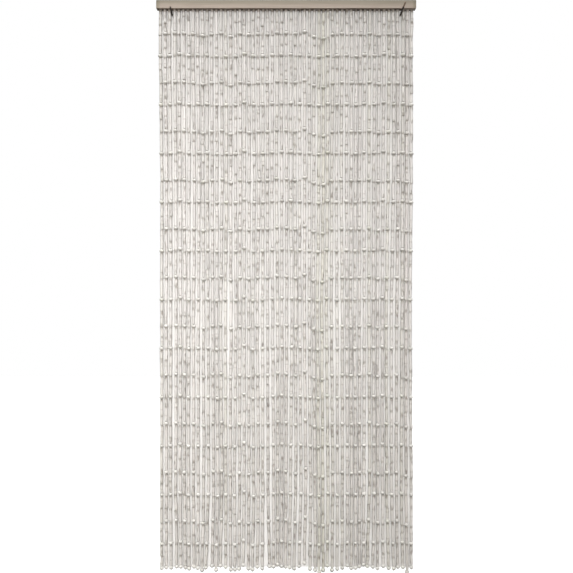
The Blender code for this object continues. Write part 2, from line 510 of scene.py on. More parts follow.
def bead_depths():
    """Depth below the rail of each string's beads, the foot bead last, as in the part."""
    rng = np.random.RandomState(SEED + 1)
    number = np.arange(STRING_COUNT)
    lower = DROP_SPREAD * rng.normal(size=STRING_COUNT)
    step = BEAD_STEP + STEP_SPREAD * rng.normal(size=STRING_COUNT)
    longer = HEM_SPREAD * rng.uniform(-1.0, 1.0, size=STRING_COUNT)
    for string, lower_by, longer_by in NOTABLE:
        lower[string] = lower_by
        longer[string] = longer_by
    first = np.array(FIRST_BEAD)[number % 2] + lower
    steps = first[:, None] + step[:, None] * np.arange(BEADS)
    foot = HEM + lower + longer + (step - BEAD_STEP) * BEADS
    return np.column_stack([steps, foot])


def string_middles(string, depth):
    """Points on the strings' middle lines: straight between the levels, and plumb below them."""
    depths, across, front_back = hanging()
    level = np.clip(np.searchsorted(depths, depth, side="right") - 1, 0, len(depths) - 2)
    share = (depth - depths[level]) / (depths[level + 1] - depths[level])
    share = np.clip(share, 0.0, 1.0)
    x = (1 - share) * across[level, string] + share * across[level + 1, string]
    y = (1 - share) * front_back[level, string] + share * front_back[level + 1, string]
    return np.stack([x, y, RAIL_BOTTOM - depth], axis=-1)


def string_shades():
    """Brightness and tone of each string: tone runs from rose, below 0, to olive at 1."""
    rng = np.random.RandomState(SEED + 2)
    shade = STRING_SHADE * rng.normal(size=STRING_COUNT)
    tone = TONE_SPREAD * rng.normal(size=STRING_COUNT)
    for string, drawn_tone in TINTED_STRINGS:
        tone[string] = drawn_tone
    return shade, tone


def ring_faces(shapes, rows, sides):
    """Vertex numbers of the bands between rows of rings, and of the two end caps.

    The vertices are counted shape by shape, row by row and round each ring. Rows run downwards,
    or along a path, and rings run anticlockwise seen from the first row's side.
    """
    start = np.arange(shapes)[:, None, None] * rows * sides
    row = np.arange(rows - 1)[None, :, None] * sides
    side = np.arange(sides)[None, None, :]
    after = (side + 1) % sides
    here = start + row
    quads = np.stack(
        [here + side, here + sides + side, here + sides + after, here + after], axis=-1
    )
    first = start[:, 0] + np.arange(sides)
    last = start[:, 0] + (rows - 1) * sides + np.arange(sides)[::-1]
    return quads.reshape(-1, 4), np.concatenate([first, last])


def turned_shapes(middles, radii, turn, sides):
    """Closed round shapes with level rings: a profile of radii carried down each middle line.

    middles is (shapes, rows, 3), radii (shapes, rows) and turn (shapes). A point is its ring's
    middle plus the radius times (cos, sin) of its angle.
    """
    angle = turn[:, None, None] + 2 * math.pi * np.arange(sides) / sides
    places = np.repeat(middles[:, :, None, :], sides, axis=2)
    places[..., 0] += radii[:, :, None] * np.cos(angle)
    places[..., 1] += radii[:, :, None] * np.sin(angle)
    quads, caps = ring_faces(len(middles), middles.shape[1], sides)
    return places.reshape(-1, 3), quads, caps


def mesh_from(name, places, quads, caps):
    """A mesh of quads and end caps, smooth but for its sharp edges."""
    corners = np.concatenate([quads.ravel(), caps.ravel()])
    sizes = np.concatenate([np.full(len(quads), 4), np.full(len(caps), caps.shape[1])])
    mesh = bpy.data.meshes.new(name)
    mesh.vertices.add(len(places))
    mesh.vertices.foreach_set("co", places.astype(np.float32).ravel())
    mesh.loops.add(len(corners))
    mesh.loops.foreach_set("vertex_index", corners.astype(np.int32))
    mesh.polygons.add(len(sizes))
    mesh.polygons.foreach_set("loop_start", (np.cumsum(sizes) - sizes).astype(np.int32))
    mesh.update(calc_edges=True)
    mesh.shade_smooth()
    mesh.set_sharp_from_angle(angle=SHARP_OVER)
    return mesh


def add_attributes(mesh, shape, sides, **values):
    """Attributes of each point, from values of whole shapes or of their rings."""
    for name, value in values.items():
        points = np.repeat(np.broadcast_to(value, shape)[..., None], sides, axis=-1)
        attribute = mesh.attributes.new(name, "FLOAT", "POINT")
        attribute.data.foreach_set("value", points.astype(np.float32).ravel())


def add_piece(name, mesh, material, replaced=()):
    """Puts a finished mesh into the scene as a piece of the part's one body."""
    mesh.materials.append(material)
    obj = bpy.data.objects.new(name, mesh)
    bpy.context.scene.collection.objects.link(obj)
    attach(obj, "root")
    if replaced:
        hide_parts(*replaced)


def rounded_bar(name, low, high, rounding, groove=None):
    """A bar along X with rounded edges, and a groove in its underside if one is given.

    The section is four arcs about fixed corner middles. Towards an end the arcs' radius falls as
    the sine of an angle while X nears the end by its cosine, so the corners are round as well.
    groove is (low_x, high_x, front, back, height).
    """
    angle = np.linspace(0.0, math.pi / 2, CORNER_STEPS + 1)
    inwards = rounding * (1 - np.cos(angle))
    x_rows = [low[0] + inwards, high[0] - inwards[::-1]]
    radius_rows = [rounding * np.sin(angle), rounding * np.sin(angle)[::-1]]
    lift_rows = [np.zeros(len(angle)), np.zeros(len(angle))]
    front, back, height = 0.0, 0.0, 0.0
    if groove:
        low_x, high_x, front, back, height = groove
        x_rows.insert(1, np.array([low_x, low_x, high_x, high_x]))
        radius_rows.insert(1, np.full(4, rounding))
        lift_rows.insert(1, np.array([0.0, height, height, 0.0]))
    x = np.concatenate(x_rows)
    radius = np.concatenate(radius_rows)
    lift = np.concatenate(lift_rows)

    corners = (
        # y, z, first angle
        (high[1] - rounding, low[2] + rounding, -math.pi / 2),
        (high[1] - rounding, high[2] - rounding, 0.0),
        (low[1] + rounding, high[2] - rounding, math.pi / 2),
        (low[1] + rounding, low[2] + rounding, math.pi),
    )
    y = [cy + radius[:, None] * np.cos(first + angle) for cy, _, first in corners]
    z = [cz + radius[:, None] * np.sin(first + angle) for _, cz, first in corners]
    if groove:
        under = (low[2] + rounding - radius)[:, None]
        y.append(np.tile([front, front, back, back], (len(x), 1)))
        z.append(under + lift[:, None] * np.array([0.0, 1.0, 1.0, 0.0]))
    y = np.concatenate(y, axis=1)
    z = np.concatenate(z, axis=1)
    places = np.stack([np.broadcast_to(x[:, None], y.shape), y, z], axis=-1)
    quads, caps = ring_faces(1, len(x), y.shape[1])
    mesh = mesh_from(name, places.reshape(-1, 3), quads[:, ::-1], caps[:, ::-1])
    clean_mesh(mesh)
    return mesh


def clean_mesh(mesh):
    """Merges points that coincide, drops what has no size and turns the faces outwards."""
    cleaned = bmesh.new()
    cleaned.from_mesh(mesh)
    bmesh.ops.remove_doubles(cleaned, verts=cleaned.verts, dist=MERGE_WITHIN)
    bmesh.ops.dissolve_degenerate(cleaned, edges=cleaned.edges, dist=MERGE_WITHIN)
    bmesh.ops.recalc_face_normals(cleaned, faces=cleaned.faces)
    cleaned.to_mesh(mesh)
    cleaned.free()
    mesh.shade_smooth()
    mesh.set_sharp_from_angle(angle=SHARP_OVER)


def tube_table(sizes):
    """Every tube as arrays: its string, the depths of its ends, and its drawn form and shade.

    Each stretch between two beads, or from the rail to the first, is parted near the mean depth
    of its neighbours' beads, and each part is cut into a few tubes whose lengths are in
    proportion to drawn numbers.
    """
    rng = np.random.RandomState(SEED + 3)

    def drawn_normal(size):
        return np.clip(rng.normal(size=size), -MOST_SPREADS, MOST_SPREADS)

    beads = bead_depths()
    half = sizes.bead_height / 2
    start = np.column_stack([np.zeros(STRING_COUNT), beads[:, :-1] + half])
    end = beads - half - BEAD_ROOM
    around = np.pad(beads, ((1, 1), (0, 0)), mode="reflect")
    mean = (around[:-2] + around[2:]) / 2 + half
    mean_before = np.column_stack([np.zeros(STRING_COUNT), mean[:, :-1]])
    even = np.arange(STRING_COUNT)[:, None] % 2 == 0
    joint = np.where(even, mean, mean_before) + JOINT_SPREAD * rng.normal(size=beads.shape)
    joint = np.where(end - joint < LEAST_PART, end, joint)
    joint = np.where(joint - start < LEAST_PART, start, joint)
    top = np.stack([start, joint], axis=-1).reshape(STRING_COUNT, -1)
    length = np.stack([joint, end], axis=-1).reshape(STRING_COUNT, -1) - top
    shape = (*length.shape, MOST_TUBES)
    wanted = length / TUBE_LENGTH + rng.uniform(-TUBE_COUNT_SPREAD, TUBE_COUNT_SPREAD, shape[:2])
    count = np.clip(np.round(wanted), 1, MOST_TUBES)
    share = rng.uniform(*TUBE_SHARE, size=shape)
    share[np.arange(MOST_TUBES) >= count[..., None]] = 0.0
    share = share / share.sum(axis=-1, keepdims=True)
    after = np.cumsum(share, axis=-1)
    before = after - share
    shade, tone = string_shades()
    # Painted shadow on the top of the first tube under each bead, reaching further down under the
    # rail
    shaded = np.zeros(shape)
    shaded[:, ::2, 0] = 1.0
    shaded[:, 0, 0] = RAIL_SHADOW
    share[length < LEAST_PART] = 0.0
    ends_at_bead = np.isclose(top + length, np.repeat(end, 2, axis=1))
    table = {
        "shaded": shaded,
        "on_bead": ends_at_bead[..., None] & (after > LAST_OF_PART),
        "string": np.broadcast_to(np.arange(STRING_COUNT)[:, None, None], shape),
        "top": top[..., None] + length[..., None] * before + sizes.tube_gap / 2,
        "bottom": top[..., None] + length[..., None] * after - sizes.tube_gap / 2,
        "radius": 1 + RADIUS_SPREAD * drawn_normal(shape),
        "taper": TAPER_SPREAD * drawn_normal(shape),
        "node": rng.uniform(*NODE_PLACE, size=shape),
        "swell": np.where(
            rng.uniform(size=shape) < NODE_SHARE, rng.uniform(*NODE_SWELL, size=shape), 0.0
        ),
        "turn": rng.uniform(0.0, 2 * math.pi, size=shape),
        "shade": shade[:, None, None] + TUBE_SHADE * rng.normal(size=shape),
        "stain": rng.uniform(*END_STAIN, size=shape),
        "tone": tone[:, None, None] + 0.5 * TONE_SPREAD * rng.normal(size=shape),
        "askew": ASKEW * drawn_normal((*shape, 2)),
    }
    return {name: values[share > 0] for name, values in table.items()}


def make_tubes(name, first, last, sizes, material, replaced):
    """The tubes of the strings first to last.

    A tube's profile runs down seven rings: rim, shoulder, below, at and above the node, shoulder
    and rim. Its radius tapers in proportion to the way down, and swells at the node. Its ends
    stand a little to the left or right of the string's middle line.
    """
    table = tube_table(sizes)
    chosen = (table["string"] >= first) & (table["string"] <= last)
    t = {key: values[chosen] for key, values in table.items()}
    length = t["bottom"] - t["top"]
    node = t["node"] * length
    end = np.zeros_like(length)
    shoulder = np.full_like(length, SHOULDER)
    half = np.minimum(NODE_HALF, NODE_ROOM * node)
    down = np.stack(
        [end, shoulder, node - half, node, node + half, length - shoulder, length], axis=1
    )
    way = down / length[:, None]
    form = np.array([RIM_SHARE, 1.0, 1.0, 1.0, 1.0, 1.0, RIM_SHARE])
    at_node = np.array([0.0, 0.0, 0.0, 1.0, 0.0, 0.0, 0.0])
    radii = form + t["swell"][:, None] * at_node + t["taper"][:, None] * (way - 0.5)
    radii = radii * (sizes.tube_radius * t["radius"])[:, None]
    middles = string_middles(t["string"][:, None], t["top"][:, None] + down)
    middles[..., 0] += t["askew"][:, :1] * (1 - way) + t["askew"][:, 1:] * way
    places, quads, caps = turned_shapes(middles, radii, t["turn"], TUBE_SIDES)
    mesh = mesh_from(name, places, quads, caps)
    from_foot = np.where(t["on_bead"][:, None], FAR_AWAY, length[:, None] - down)
    from_node = np.abs(down - node[:, None])
    from_node[t["swell"] == 0] = FAR_AWAY
    shaded = t["shaded"][:, None]
    add_attributes(
        mesh,
        down.shape,
        TUBE_SIDES,
        shade=t["shade"][:, None],
        tone=t["tone"][:, None],
        from_end=np.minimum(down, from_foot) / t["stain"][:, None],
        from_node=from_node,
        # painted shadow from the bead or the rail above the tube
        from_above=np.where(shaded > 0, shaded * down, FAR_AWAY),
    )
    add_piece(name, mesh, material, replaced)


def make_beads(name, first, last, sizes, material):
    """Round beads, a little flatter than wide: radius by the cosine and height by the sine."""
    rng = np.random.RandomState(SEED + 4)
    depth = bead_depths()
    shade, tone = string_shades()
    scale = 1 + BEAD_SIZE_SPREAD * np.clip(rng.normal(size=depth.shape), *BEAD_SIZE_LIMITS)
    turn = rng.uniform(0.0, 2 * math.pi, size=depth.shape)
    shade = shade[:, None] + BEAD_SHADE * rng.normal(size=depth.shape)
    tone = tone[:, None] + TONE_SPREAD * rng.normal(size=depth.shape)
    string = np.broadcast_to(np.arange(STRING_COUNT)[:, None], depth.shape)
    string, depth, scale, turn, shade, tone = (
        values[first : last + 1].reshape(-1, 1)
        for values in (string, depth, scale, turn, shade, tone)
    )
    angle = np.linspace(BEAD_CUT, -BEAD_CUT, BEAD_ROWS)
    flat = sizes.bead_height / 2 / math.sin(BEAD_CUT)
    down = depth - flat * np.sin(angle) * scale
    radii = sizes.bead_radius * np.cos(angle) * scale
    middles = string_middles(string, down)
    places, quads, caps = turned_shapes(middles, radii, turn[:, 0], BEAD_SIDES)
    mesh = mesh_from(name, places, quads, caps)
    add_attributes(
        mesh,
        down.shape,
        BEAD_SIDES,
        shade=shade,
        tone=tone,
        from_end=radii - radii[:, :1],
        # painted shade on the bead's lower part
        from_foot=down[:, -1:] - down,
    )
    add_piece(name, mesh, material)


def make_cords(name, sizes, material):
    """The cord of each string from the rail to its foot bead, with a knot below the bead."""
    foot = bead_depths()[:, -1]
    depths, _, _ = hanging()
    under = foot + sizes.bead_height / 2
    string = np.arange(STRING_COUNT)
    down = np.minimum(depths[None, :], under[:, None] - CORD_END)
    down = np.column_stack([down, under])
    radii = np.full(down.shape, sizes.cord_radius)
    turn = np.zeros(STRING_COUNT)
    cord = turned_shapes(string_middles(string[:, None], down), radii, turn, CORD_SIDES)
    angle = np.linspace(KNOT_CUT, -KNOT_CUT, KNOT_ROWS)
    down = under[:, None] - KNOT_HEIGHT / 2 * np.sin(angle)
    radii = np.broadcast_to(KNOT_RADIUS * np.cos(angle), down.shape)
    knot = turned_shapes(string_middles(string[:, None], down), radii, turn, CORD_SIDES)
    count = len(cord[0])
    places = np.concatenate([cord[0], knot[0]])
    quads = np.concatenate([cord[1], knot[1] + count])
    caps = np.concatenate([cord[2], knot[2] + count])
    add_piece(name, mesh_from(name, places, quads, caps), material)


def arc(centre, radius, start, end, steps):
    """Points (forward, height) on an arc, its angles in radians from straight forward."""
    angles = np.linspace(start, end, steps + 1)
    return np.column_stack(
        [centre[0] + radius * np.cos(angles), centre[1] + radius * np.sin(angles)]
    )


def hook_profile(tip_height):
    """The wire's middle line seen from the side, as (forward from the wall, height).

    The shank comes out of the wall just under the rail. The wire bends down, sweeps round a
    bowl and rises in a slanted arm that the rail's lower front edge rests on.
    """
    shank_height = RAIL_BOTTOM - GAP - WIRE_RADIUS
    clear = RAIL_ROUNDING + GAP + WIRE_RADIUS
    across = (math.sin(ARM_ANGLE), -math.cos(ARM_ANGLE))
    rest = (
        RAIL_DEPTH - RAIL_ROUNDING + clear * across[0],
        RAIL_BOTTOM + RAIL_ROUNDING + clear * across[1],
    )
    back = SHANK_LENGTH + BEND_RADIUS
    offset = across[0] * (rest[0] - back) + across[1] * (rest[1] - CROOK_BOTTOM)
    radius = offset / (1 + across[0] + across[1])
    centre = (back + radius, CROOK_BOTTOM + radius)
    rise = (tip_height - rest[1]) / math.sin(ARM_ANGLE)
    tip = (rest[0] + rise * math.cos(ARM_ANGLE), tip_height)
    bend_centre = (SHANK_LENGTH, shank_height - BEND_RADIUS)
    return np.concatenate(
        [
            [(GAP, shank_height)],
            arc(bend_centre, BEND_RADIUS, math.pi / 2, 0.0, BEND_STEPS),
            arc(centre, radius, -math.pi, ARM_ANGLE - math.pi / 2, BOWL_STEPS),
            [tip],
        ]
    )


def make_hook(name, side, tip_height, lean_degrees, material):
    """A round wire carried along the hook's line, which lies in a plane that leans outwards.

    Each ring stands on the plane's normal and on the normal's cross product with the line's
    direction. The last rings close the tip as a half ball.
    """
    lean = math.tan(math.radians(lean_degrees))
    forward, height = hook_profile(tip_height).T
    x = side * (HOOK_AT + (height - CROOK_BOTTOM) * lean)
    line = np.column_stack([x, -forward, height])
    run = np.diff(line, axis=0)
    run /= np.linalg.norm(run, axis=1, keepdims=True)
    way = np.concatenate([run[:1], run[:-1] + run[1:], run[-1:]])
    way /= np.linalg.norm(way, axis=1, keepdims=True)
    tip = np.linspace(0.0, TIP_CUT, TIP_RINGS + 1)[1:]
    past_tip = WIRE_RADIUS * (np.sin(tip) - 1)[:, None] * way[-1]
    line = np.concatenate([line[:-1], line[-1] + past_tip])
    way = np.concatenate([way[:-1], np.repeat(way[-1:], len(tip), axis=0)])
    radii = np.concatenate([np.full(len(line) - len(tip), 1.0), np.cos(tip)]) * WIRE_RADIUS
    plane = np.array([1.0, 0.0, -side * lean])
    plane /= np.linalg.norm(plane)
    other = np.cross(way, plane)
    angle = 2 * math.pi * np.arange(WIRE_SIDES) / WIRE_SIDES
    places = line[:, None, :] + radii[:, None, None] * (
        np.cos(angle)[None, :, None] * plane + np.sin(angle)[None, :, None] * other[:, None, :]
    )
    quads, caps = ring_faces(1, len(line), WIRE_SIDES)
    mesh = mesh_from(name + "_wire", places.reshape(-1, 3), quads, caps)
    clean_mesh(mesh)
    add_piece(name + "_wire", mesh, material, (name,))


def new_tree(name):
    """A material, its node tree with only its Principled shader, and that shader."""
    material = bpy.data.materials.new(name)
    material.use_nodes = True
    return material, material.node_tree, material.node_tree.nodes["Principled BSDF"]


def plug(tree, socket, value):
    """Links an input to a value that is a socket, or sets it to any other value."""
    if isinstance(value, bpy.types.NodeSocket):
        tree.links.new(value, socket)
    else:
        socket.default_value = value


def add_node(tree, kind, inputs=None, **settings):
    """A node with its settings and inputs."""
    node = tree.nodes.new(kind)
    for key, value in settings.items():
        setattr(node, key, value)
    for key, value in (inputs or {}).items():
        plug(tree, node.inputs[key], value)
    return node


def add_math(tree, operation, first, second=0.0, third=0.0, clamp=False):
    inputs = {0: first, 1: second, 2: third}
    node = add_node(tree, "ShaderNodeMath", inputs, operation=operation, use_clamp=clamp)
    return node.outputs[0]


def add_mix(tree, share, first, second, blend="MIX"):
    """A colour mixed from two, or multiplied, by a share."""
    node = add_node(tree, "ShaderNodeMix", {0: share}, data_type="RGBA", blend_type=blend)
    for place, colour in ((6, first), (7, second)):
        if not isinstance(colour, bpy.types.NodeSocket):
            colour = (*colour, 1.0)
        plug(tree, node.inputs[place], colour)
    return node.outputs[2]


def add_range(tree, value, low, high, to_low=0.0, to_high=1.0):
    """A value carried smoothly from one range to another, and held at its ends."""
    inputs = {"Value": value, 1: low, 2: high, 3: to_low, 4: to_high}
    node = add_node(tree, "ShaderNodeMapRange", inputs, interpolation_type="SMOOTHSTEP")
    return node.outputs[0]


def darken(tree, colour, value, mask, tint):
    """A colour multiplied by a tint as far as the mask of a value goes."""
    return add_mix(tree, add_range(tree, value, *mask), colour, tint, "MULTIPLY")


def place_on_piece(tree):
    return add_node(tree, "ShaderNodeTexCoord").outputs["Object"]


def height_on_piece(tree):
    return add_node(tree, "ShaderNodeSeparateXYZ", {0: place_on_piece(tree)}).outputs["Z"]


def stretched_place(tree, per_metre):
    """The place on the piece, counted in steps that differ along X, Y and Z."""
    inputs = {0: place_on_piece(tree), 1: per_metre}
    return add_node(tree, "ShaderNodeVectorMath", inputs, operation="MULTIPLY").outputs[0]


def add_noise(tree, place, scale, detail):
    inputs = {"Vector": place, "Scale": scale, "Detail": detail}
    return add_node(tree, "ShaderNodeTexNoise", inputs).outputs["Fac"]


def attribute(tree, name):
    return add_node(tree, "ShaderNodeAttribute", attribute_name=name).outputs["Fac"]


def add_group(tree, group, inputs):
    return add_node(tree, "ShaderNodeGroup", inputs, node_tree=group).outputs


def finish(tree, shader, colour, roughness, relief, bump):
    """Gives the shader its colour, its roughness and a bump of a height and a strength."""
    height, strength = bump
    inputs = {"Height": relief, "Distance": height, "Strength": strength}
    normal = add_node(tree, "ShaderNodeBump", inputs).outputs["Normal"]
    for name, value in (("Base Color", colour), ("Roughness", roughness), ("Normal", normal)):
        plug(tree, shader.inputs[name], value)


def new_group(name, inputs, outputs):
    """An empty node group with its inputs, (name, kind, default), and its outputs."""
    group = bpy.data.node_groups.new(name, "ShaderNodeTree")
    for socket, kind, default in inputs:
        made = group.interface.new_socket(socket, in_out="INPUT", socket_type=kind)
        made.default_value = default
    for socket, kind in outputs:
        group.interface.new_socket(socket, in_out="OUTPUT", socket_type=kind)
    start = group.nodes.new("NodeGroupInput")
    end = group.nodes.new("NodeGroupOutput")
    return group, start.outputs, end.inputs


def grain_group():
    """Long streaks in a surface: coarse and fine noise in coordinates that are scaled for each
    direction, so that the pattern is stretched along the wood."""
    if found := bpy.data.node_groups.get("long_grain"):
        return found
    group, start, end = new_group(
        "long_grain",
        (
            ("Per metre", "NodeSocketVector", (100.0, 100.0, 10.0)),
            ("Fine", "NodeSocketFloat", 4.0),
        ),
        (("Coarse", "NodeSocketFloat"), ("Streaks", "NodeSocketFloat")),
    )
    place = stretched_place(group, start["Per metre"])
    group.links.new(add_noise(group, place, 1.0, 2.0), end["Coarse"])
    group.links.new(add_noise(group, place, start["Fine"], 3.0), end["Streaks"])
    return group


def scar_group():
    """Sparse dark scars: spots round the random points of a cell pattern, uneven in strength."""
    if found := bpy.data.node_groups.get("scars"):
        return found
    group, start, end = new_group(
        "scars",
        (
            ("Per metre", "NodeSocketVector", (120.0, 120.0, 60.0)),
            ("Reach", "NodeSocketFloat", 0.35),
        ),
        (("Scars", "NodeSocketFloat"),),
    )
    place = stretched_place(group, start["Per metre"])
    ragged = add_noise(group, place, 3.0, 2.0)
    cells = add_node(group, "ShaderNodeTexVoronoi", {"Vector": place, "Scale": 1.0})
    distance = add_math(group, "ADD", cells.outputs["Distance"], ragged)
    reach = add_math(group, "ADD", start["Reach"], NOISE_MEAN)
    outside = add_math(group, "SUBTRACT", distance, reach)
    spot = add_range(group, outside, *SCAR_SPOT)
    drawn = add_node(group, "ShaderNodeSeparateColor", {0: cells.outputs["Color"]}).outputs[0]
    strength = add_range(group, drawn, *SCAR_STRENGTH)
    group.links.new(add_math(group, "MULTIPLY", spot, strength), end["Scars"])
    return group


def tint_group(colours):
    """A colour shaded lighter or darker, and tinted towards olive or rose."""
    if found := bpy.data.node_groups.get("string_tint"):
        return found
    group, start, end = new_group(
        "string_tint",
        (
            ("Colour", "NodeSocketColor", (1.0, 1.0, 1.0, 1.0)),
            ("Shade", "NodeSocketFloat", 0.0),
            ("Tone", "NodeSocketFloat", 0.0),
        ),
        (("Colour", "NodeSocketColor"),),
    )
    olive = add_math(group, "MULTIPLY", start["Tone"], 1.0, clamp=True)
    rose = add_math(group, "MULTIPLY", start["Tone"], -1.0, clamp=True)
    colour = add_mix(group, olive, start["Colour"], colours.olive, "MULTIPLY")
    colour = add_mix(group, rose, colour, colours.rose, "MULTIPLY")
    level = add_math(group, "ADD", start["Shade"], 1.0)
    grey = add_node(group, "ShaderNodeCombineColor", {0: level, 1: level, 2: level})
    colour = add_mix(group, 1.0, colour, grey.outputs[0], "MULTIPLY")
    group.links.new(colour, end["Colour"])
    return group


def tinted(tree, colours, colour):
    """A colour with the shade and tone of its string and piece."""
    inputs = {"Colour": colour, "Shade": attribute(tree, "shade"), "Tone": attribute(tree, "tone")}
    return add_group(tree, tint_group(colours), inputs)["Colour"]


def wear_and_shade_share(tree, grain, masks):
    """How far a place is worn or in painted shade: the largest mask of the grain and of the
    piece's attributes.
    """
    wear_and_shade = None
    for name, span in masks.items():
        value = grain[name] if name in grain else attribute(tree, name)
        mask = add_range(tree, value, *span)
        wear_and_shade = add_math(tree, "MAXIMUM", wear_and_shade, mask) if wear_and_shade else mask
    return wear_and_shade


def bamboo_material(colours):
    """Whitewashed bamboo: streaks and blotches where the wash is thin, dark ends and nodes,
    painted shadow under the beads and the rail, and painted shade lower down.
    """
    if found := bpy.data.materials.get("whitewashed_bamboo"):
        return found
    material, tree, shader = new_tree("whitewashed_bamboo")
    grain = add_group(tree, grain_group(), BAMBOO_GRAIN)
    scars = add_group(tree, scar_group(), BAMBOO_SCARS)
    wear_and_shade = wear_and_shade_share(tree, grain, BAMBOO_WEAR_AND_SHADE)
    colour = add_mix(tree, wear_and_shade, colours.wash, colours.wear_and_shade)
    colour = add_mix(tree, scars["Scars"], colour, colours.scar)
    height = height_on_piece(tree)
    # Painted shadow of the rail on the strings' tops
    colour = darken(tree, colour, height, *PAINTED_RAIL_SHADOW)
    # Painted shade towards the bottom of the strings
    colour = darken(tree, colour, height, *LOW_DOWN_PAINTED_SHADE)
    roughness = add_range(tree, wear_and_shade, *BAMBOO_ROUGHNESS)
    colour = tinted(tree, colours, colour)
    finish(tree, shader, colour, roughness, grain["Streaks"], BAMBOO_BUMP)
    return material


def bead_material(colours):
    """Whitewashed wooden beads: fine grain along the bore, worn round its mouths, and painted
    shade on each bead's lower part.
    """
    if found := bpy.data.materials.get("whitewashed_bead"):
        return found
    material, tree, shader = new_tree("whitewashed_bead")
    grain = add_group(tree, grain_group(), BEAD_GRAIN)
    wear_and_shade = wear_and_shade_share(tree, grain, BEAD_WEAR_AND_SHADE)
    colour = tinted(tree, colours, add_mix(tree, wear_and_shade, colours.bead, colours.wear_and_shade))
    roughness = add_range(tree, wear_and_shade, *BEAD_ROUGHNESS)
    finish(tree, shader, colour, roughness, grain["Streaks"], BEAD_BUMP)
    return material


def cord_material(colours):
    """Brown twisted cord: slanted bands of light and dark fibre."""
    material, tree, shader = new_tree("brown_cord")
    inputs = {"Vector": place_on_piece(tree), **CORD_TWIST}
    wave = add_node(tree, "ShaderNodeTexWave", inputs, bands_direction="DIAGONAL")
    twist = wave.outputs["Fac"]
    dark = tuple(CORD_DARK * part for part in colours.cord)
    colour = add_mix(tree, twist, dark, colours.cord)
    finish(tree, shader, colour, CORD_ROUGHNESS, twist, CORD_BUMP)
    return material


def rail_material(colours):
    """Greige wood with grain along X, greener and darker above and rosier below, with painted
    shade on its top face and its underside.
    """
    if found := bpy.data.materials.get("greige_wood"):
        return found
    material, tree, shader = new_tree("greige_wood")
    grain = add_group(tree, grain_group(), RAIL_GRAIN)
    place = add_node(tree, "ShaderNodeSeparateXYZ", {0: place_on_piece(tree)})
    along, _, height = place.outputs
    drift = add_math(tree, "MULTIPLY_ADD", grain["Coarse"], RAIL_DRIFT, -RAIL_DRIFT / 2)
    upper = add_range(tree, add_math(tree, "ADD", height, drift), *RAIL_UPPER)
    on_top = add_range(tree, height, *RAIL_ON_TOP)
    colour = add_mix(tree, upper, colours.rail_lower, colours.rail_upper)
    colour = darken(tree, colour, grain["Streaks"], *RAIL_STREAKS)
    colour = darken(tree, colour, add_math(tree, "ABSOLUTE", along), *RAIL_ENDS)
    # painted shade on the top face
    colour = add_mix(tree, on_top, colour, RAIL_TOP_PAINTED_SHADE, "MULTIPLY")
    # painted shade underneath
    colour = darken(tree, colour, height, *RAIL_UNDERSIDE_PAINTED_SHADE)
    rough = add_range(tree, grain["Streaks"], *RAIL_ROUGHNESS)
    top_rough = add_math(tree, "MULTIPLY", on_top, RAIL_TOP_ROUGHNESS)
    rough = add_math(tree, "MAXIMUM", rough, top_rough)
    finish(tree, shader, colour, rough, grain["Streaks"], RAIL_BUMP)
    return material


def wire_material(colours):
    """Dark coated wire with a faint mottle, and painted light that turns it lighter brown above
    the rail's underside, where it stands lit in front of the rail.
    """
    material, tree, shader = new_tree("dark_wire")
    mottle = add_noise(tree, place_on_piece(tree), *WIRE_MOTTLE)
    lighter = tuple(WIRE_LIGHTER * part for part in colours.wire)
    colour = add_mix(tree, mottle, colours.wire, lighter)
    # painted light on the wire in front of the rail
    painted_light = add_range(tree, height_on_piece(tree), *WIRE_PAINTED_LIGHT)
    colour = add_mix(tree, painted_light, colour, colours.painted_light)
    shader.inputs["Metallic"].default_value = WIRE_METALLIC
    finish(tree, shader, colour, add_range(tree, mottle, *WIRE_ROUGHNESS), mottle, WIRE_BUMP)
    return material


def floor_material(stage):
    """Plain pale floor, seen a little brighter than it is lit so that it photographs white."""
    material, tree, shader = new_tree("pale_floor")
    shader.inputs["Base Color"].default_value = (*stage.floor, 1.0)
    shader.inputs["Roughness"].default_value = STAGE_ROUGHNESS
    shader.inputs["Emission Color"].default_value = WHITE
    seen = add_node(tree, "ShaderNodeLightPath").outputs["Is Camera Ray"]
    glow = add_math(tree, "MULTIPLY", seen, stage.floor_glow)
    tree.links.new(glow, shader.inputs["Emission Strength"])
    return material


def panel_material(stage):
    """Plain pale matte that is clear from behind."""
    material, tree, shader = new_tree("pale_panel")
    shader.inputs["Base Color"].default_value = (*stage.panel, 1.0)
    shader.inputs["Roughness"].default_value = STAGE_ROUGHNESS
    behind = add_node(tree, "ShaderNodeNewGeometry").outputs["Backfacing"]
    clear = add_node(tree, "ShaderNodeBsdfTransparent")
    inputs = {0: behind, 1: shader.outputs[0], 2: clear.outputs[0]}
    mixed = add_node(tree, "ShaderNodeMixShader", inputs)
    tree.links.new(mixed.outputs[0], tree.nodes["Material Output"].inputs["Surface"])
    return material


def add_stage_sheet(name, low, across, up, material):
    """A flat grid from a corner along two directions."""
    steps = np.linspace(0.0, 1.0, SHEET_CELLS + 1)
    u, v = np.meshgrid(steps, steps)
    places = np.array(low) + u[..., None] * np.array(across) + v[..., None] * np.array(up)
    row, column = np.divmod(np.arange(SHEET_CELLS**2), SHEET_CELLS)
    corner = row * len(steps) + column
    above = corner + len(steps)
    quads = np.column_stack([corner, corner + 1, above + 1, above])
    mesh = mesh_from(name, places.reshape(-1, 3), quads, quads[:0])
    mesh.materials.append(material)
    sheet = bpy.data.objects.new(name, mesh)
    bpy.context.scene.collection.objects.link(sheet)


